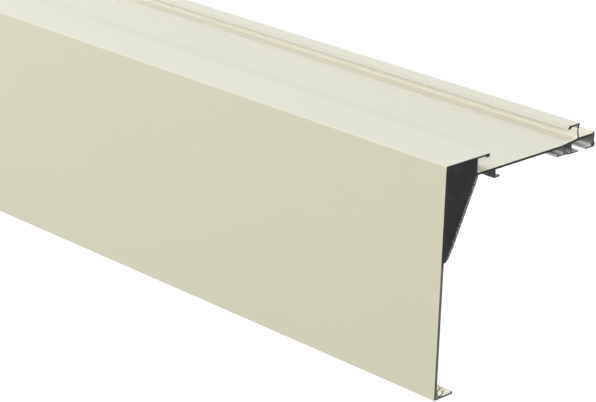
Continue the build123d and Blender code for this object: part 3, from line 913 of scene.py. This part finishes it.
def floor_finish():
    """Matt white paper, lifted for the camera alone."""
    made = bpy.data.materials.new("floor_paper")
    graph = Graph(made)
    seen = graph.node("ShaderNodeLightPath", {}, {}, "Is Camera Ray")
    black = (0.0, 0.0, 0.0, 1.0)
    white = (1.0, 1.0, 1.0, 1.0)
    inputs = {
        "Base Color": FLOOR_WHITE,
        "Roughness": FLOOR_ROUGHNESS,
        "Specular IOR Level": 0.0,
        "Emission Color": mixed_colour(graph, black, white, seen),
        "Emission Strength": FLOOR_LIFT,
    }
    shader = graph.node("ShaderNodeBsdfPrincipled", {}, inputs)
    graph.node("ShaderNodeOutputMaterial", {}, {"Surface": shader})
    return made


ground = floor()
ground.data.materials.append(floor_finish())

# Light: a dim white room, a soft warm sun from the right front that reaches under the
# hanging rail, a cool one from above, a weaker one from behind, and a panel at the far end.

ROOM_FILL = 0.12
ROOM_WHITE = (1.0, 1.0, 1.0, 1.0)
TOP_LIGHT = 2.23
TOP_TINT = (0.77, 0.823, 1.0)
TOP_FROM = (0.0, 0.0, 1.0)
FRONT_LIGHT = 2.64
FRONT_TINT = (1.0, 0.97, 0.82)
FRONT_FROM = (1.0, -1.0, 0.5)
BACK_LIGHT = 1.2
BACK_TINT = (1.0, 1.0, 1.0)
BACK_FROM = (-0.6, 1.0, 0.1)
SOFT_SUN_DEG = 20.0
BROAD_SUN_DEG = 60.0
PANEL_POWER = 3.5
PANEL_FROM = (-0.7, -0.9, 0.75)
PANEL_PLACE = (-0.85, -0.8, 0.55)
PANEL_SIZE = 0.6
LAMP_SIDE = (1.0, 0.2, 0.0)


def room():
    """World that is white to the camera and in reflections, and dimmer as light."""
    world = bpy.data.worlds.new("room")
    graph = Graph(world)
    seen = graph.node("ShaderNodeLightPath", {}, {}, "Is Camera Ray")
    bright = seen.larger(seen.output("Is Glossy Ray")).larger(seen.output("Is Transmission Ray"))
    fill = graph.node("ShaderNodeBackground", {}, {"Color": ROOM_WHITE, "Strength": ROOM_FILL})
    white = graph.node("ShaderNodeBackground", {}, {"Color": ROOM_WHITE, "Strength": 1.0})
    both = graph.node("ShaderNodeMixShader", {}, {0: bright, 1: fill, 2: white})
    graph.node("ShaderNodeOutputWorld", {}, {"Surface": both})
    bpy.context.scene.world = world


def lit_from(source):
    """Rotation whose Z axis points to the source and whose X axis is nearest to the side."""
    z = np.array(source)
    z /= np.linalg.norm(z)
    x = np.array(LAMP_SIDE)
    x -= z * (x @ z)
    x /= np.linalg.norm(x)
    return Matrix(np.column_stack((x, np.cross(z, x), z))).to_4x4()


def lamp(name, kind, power, tint, settings, source, place):
    """Lamp at its place that shines away from its source's direction."""
    data = bpy.data.lights.new(name, kind)
    data.energy = power
    data.color = tint
    for setting, value in settings.items():
        setattr(data, setting, value)
    in_the_scene(name, data).matrix_world = Matrix.Translation(place) @ lit_from(source)


room()
soft = {"angle": math.radians(SOFT_SUN_DEG)}
broad = {"angle": math.radians(BROAD_SUN_DEG)}
square = {"shape": "SQUARE", "size": PANEL_SIZE}
lamp("top_light", "SUN", TOP_LIGHT, TOP_TINT, broad, TOP_FROM, TOP_FROM)
lamp("front_light", "SUN", FRONT_LIGHT, FRONT_TINT, soft, FRONT_FROM, FRONT_FROM)
lamp("back_light", "SUN", BACK_LIGHT, BACK_TINT, broad, BACK_FROM, BACK_FROM)
lamp("side_panel", "AREA", PANEL_POWER, TOP_TINT, square, PANEL_FROM, PANEL_PLACE)

# Camera: in front of the right end and a little above the part, slightly turned about
# its own axis, with a long lens.

CAMERA_PLACE = (1.137747, -1.078014, 0.443926)
CAMERA_AZIMUTH_DEG = 44.938
CAMERA_ELEVATION_DEG = 20.243
CAMERA_ROLL_DEG = 1.797
CAMERA_LENS_MM = 140.16
SENSOR_MM = 36.0
NEAREST_SEEN = 0.05
FURTHEST_SEEN = 60.0


def camera():
    """Camera at its place: turned about Z, tipped down, then rolled about its own axis."""
    data = bpy.data.cameras.new("camera")
    data.lens = CAMERA_LENS_MM
    data.sensor_width = SENSOR_MM
    data.clip_start = NEAREST_SEEN
    data.clip_end = FURTHEST_SEEN
    turn = Matrix.Rotation(math.radians(CAMERA_AZIMUTH_DEG), 4, "Z")
    tip = Matrix.Rotation(math.radians(90.0 - CAMERA_ELEVATION_DEG), 4, "X")
    roll = Matrix.Rotation(math.radians(CAMERA_ROLL_DEG), 4, "Z")
    made = in_the_scene("camera", data)
    made.matrix_world = Matrix.Translation(CAMERA_PLACE) @ turn @ tip @ roll
    return made


bpy.context.scene.camera = camera()
bpy.context.scene.view_settings.view_transform = "Standard"
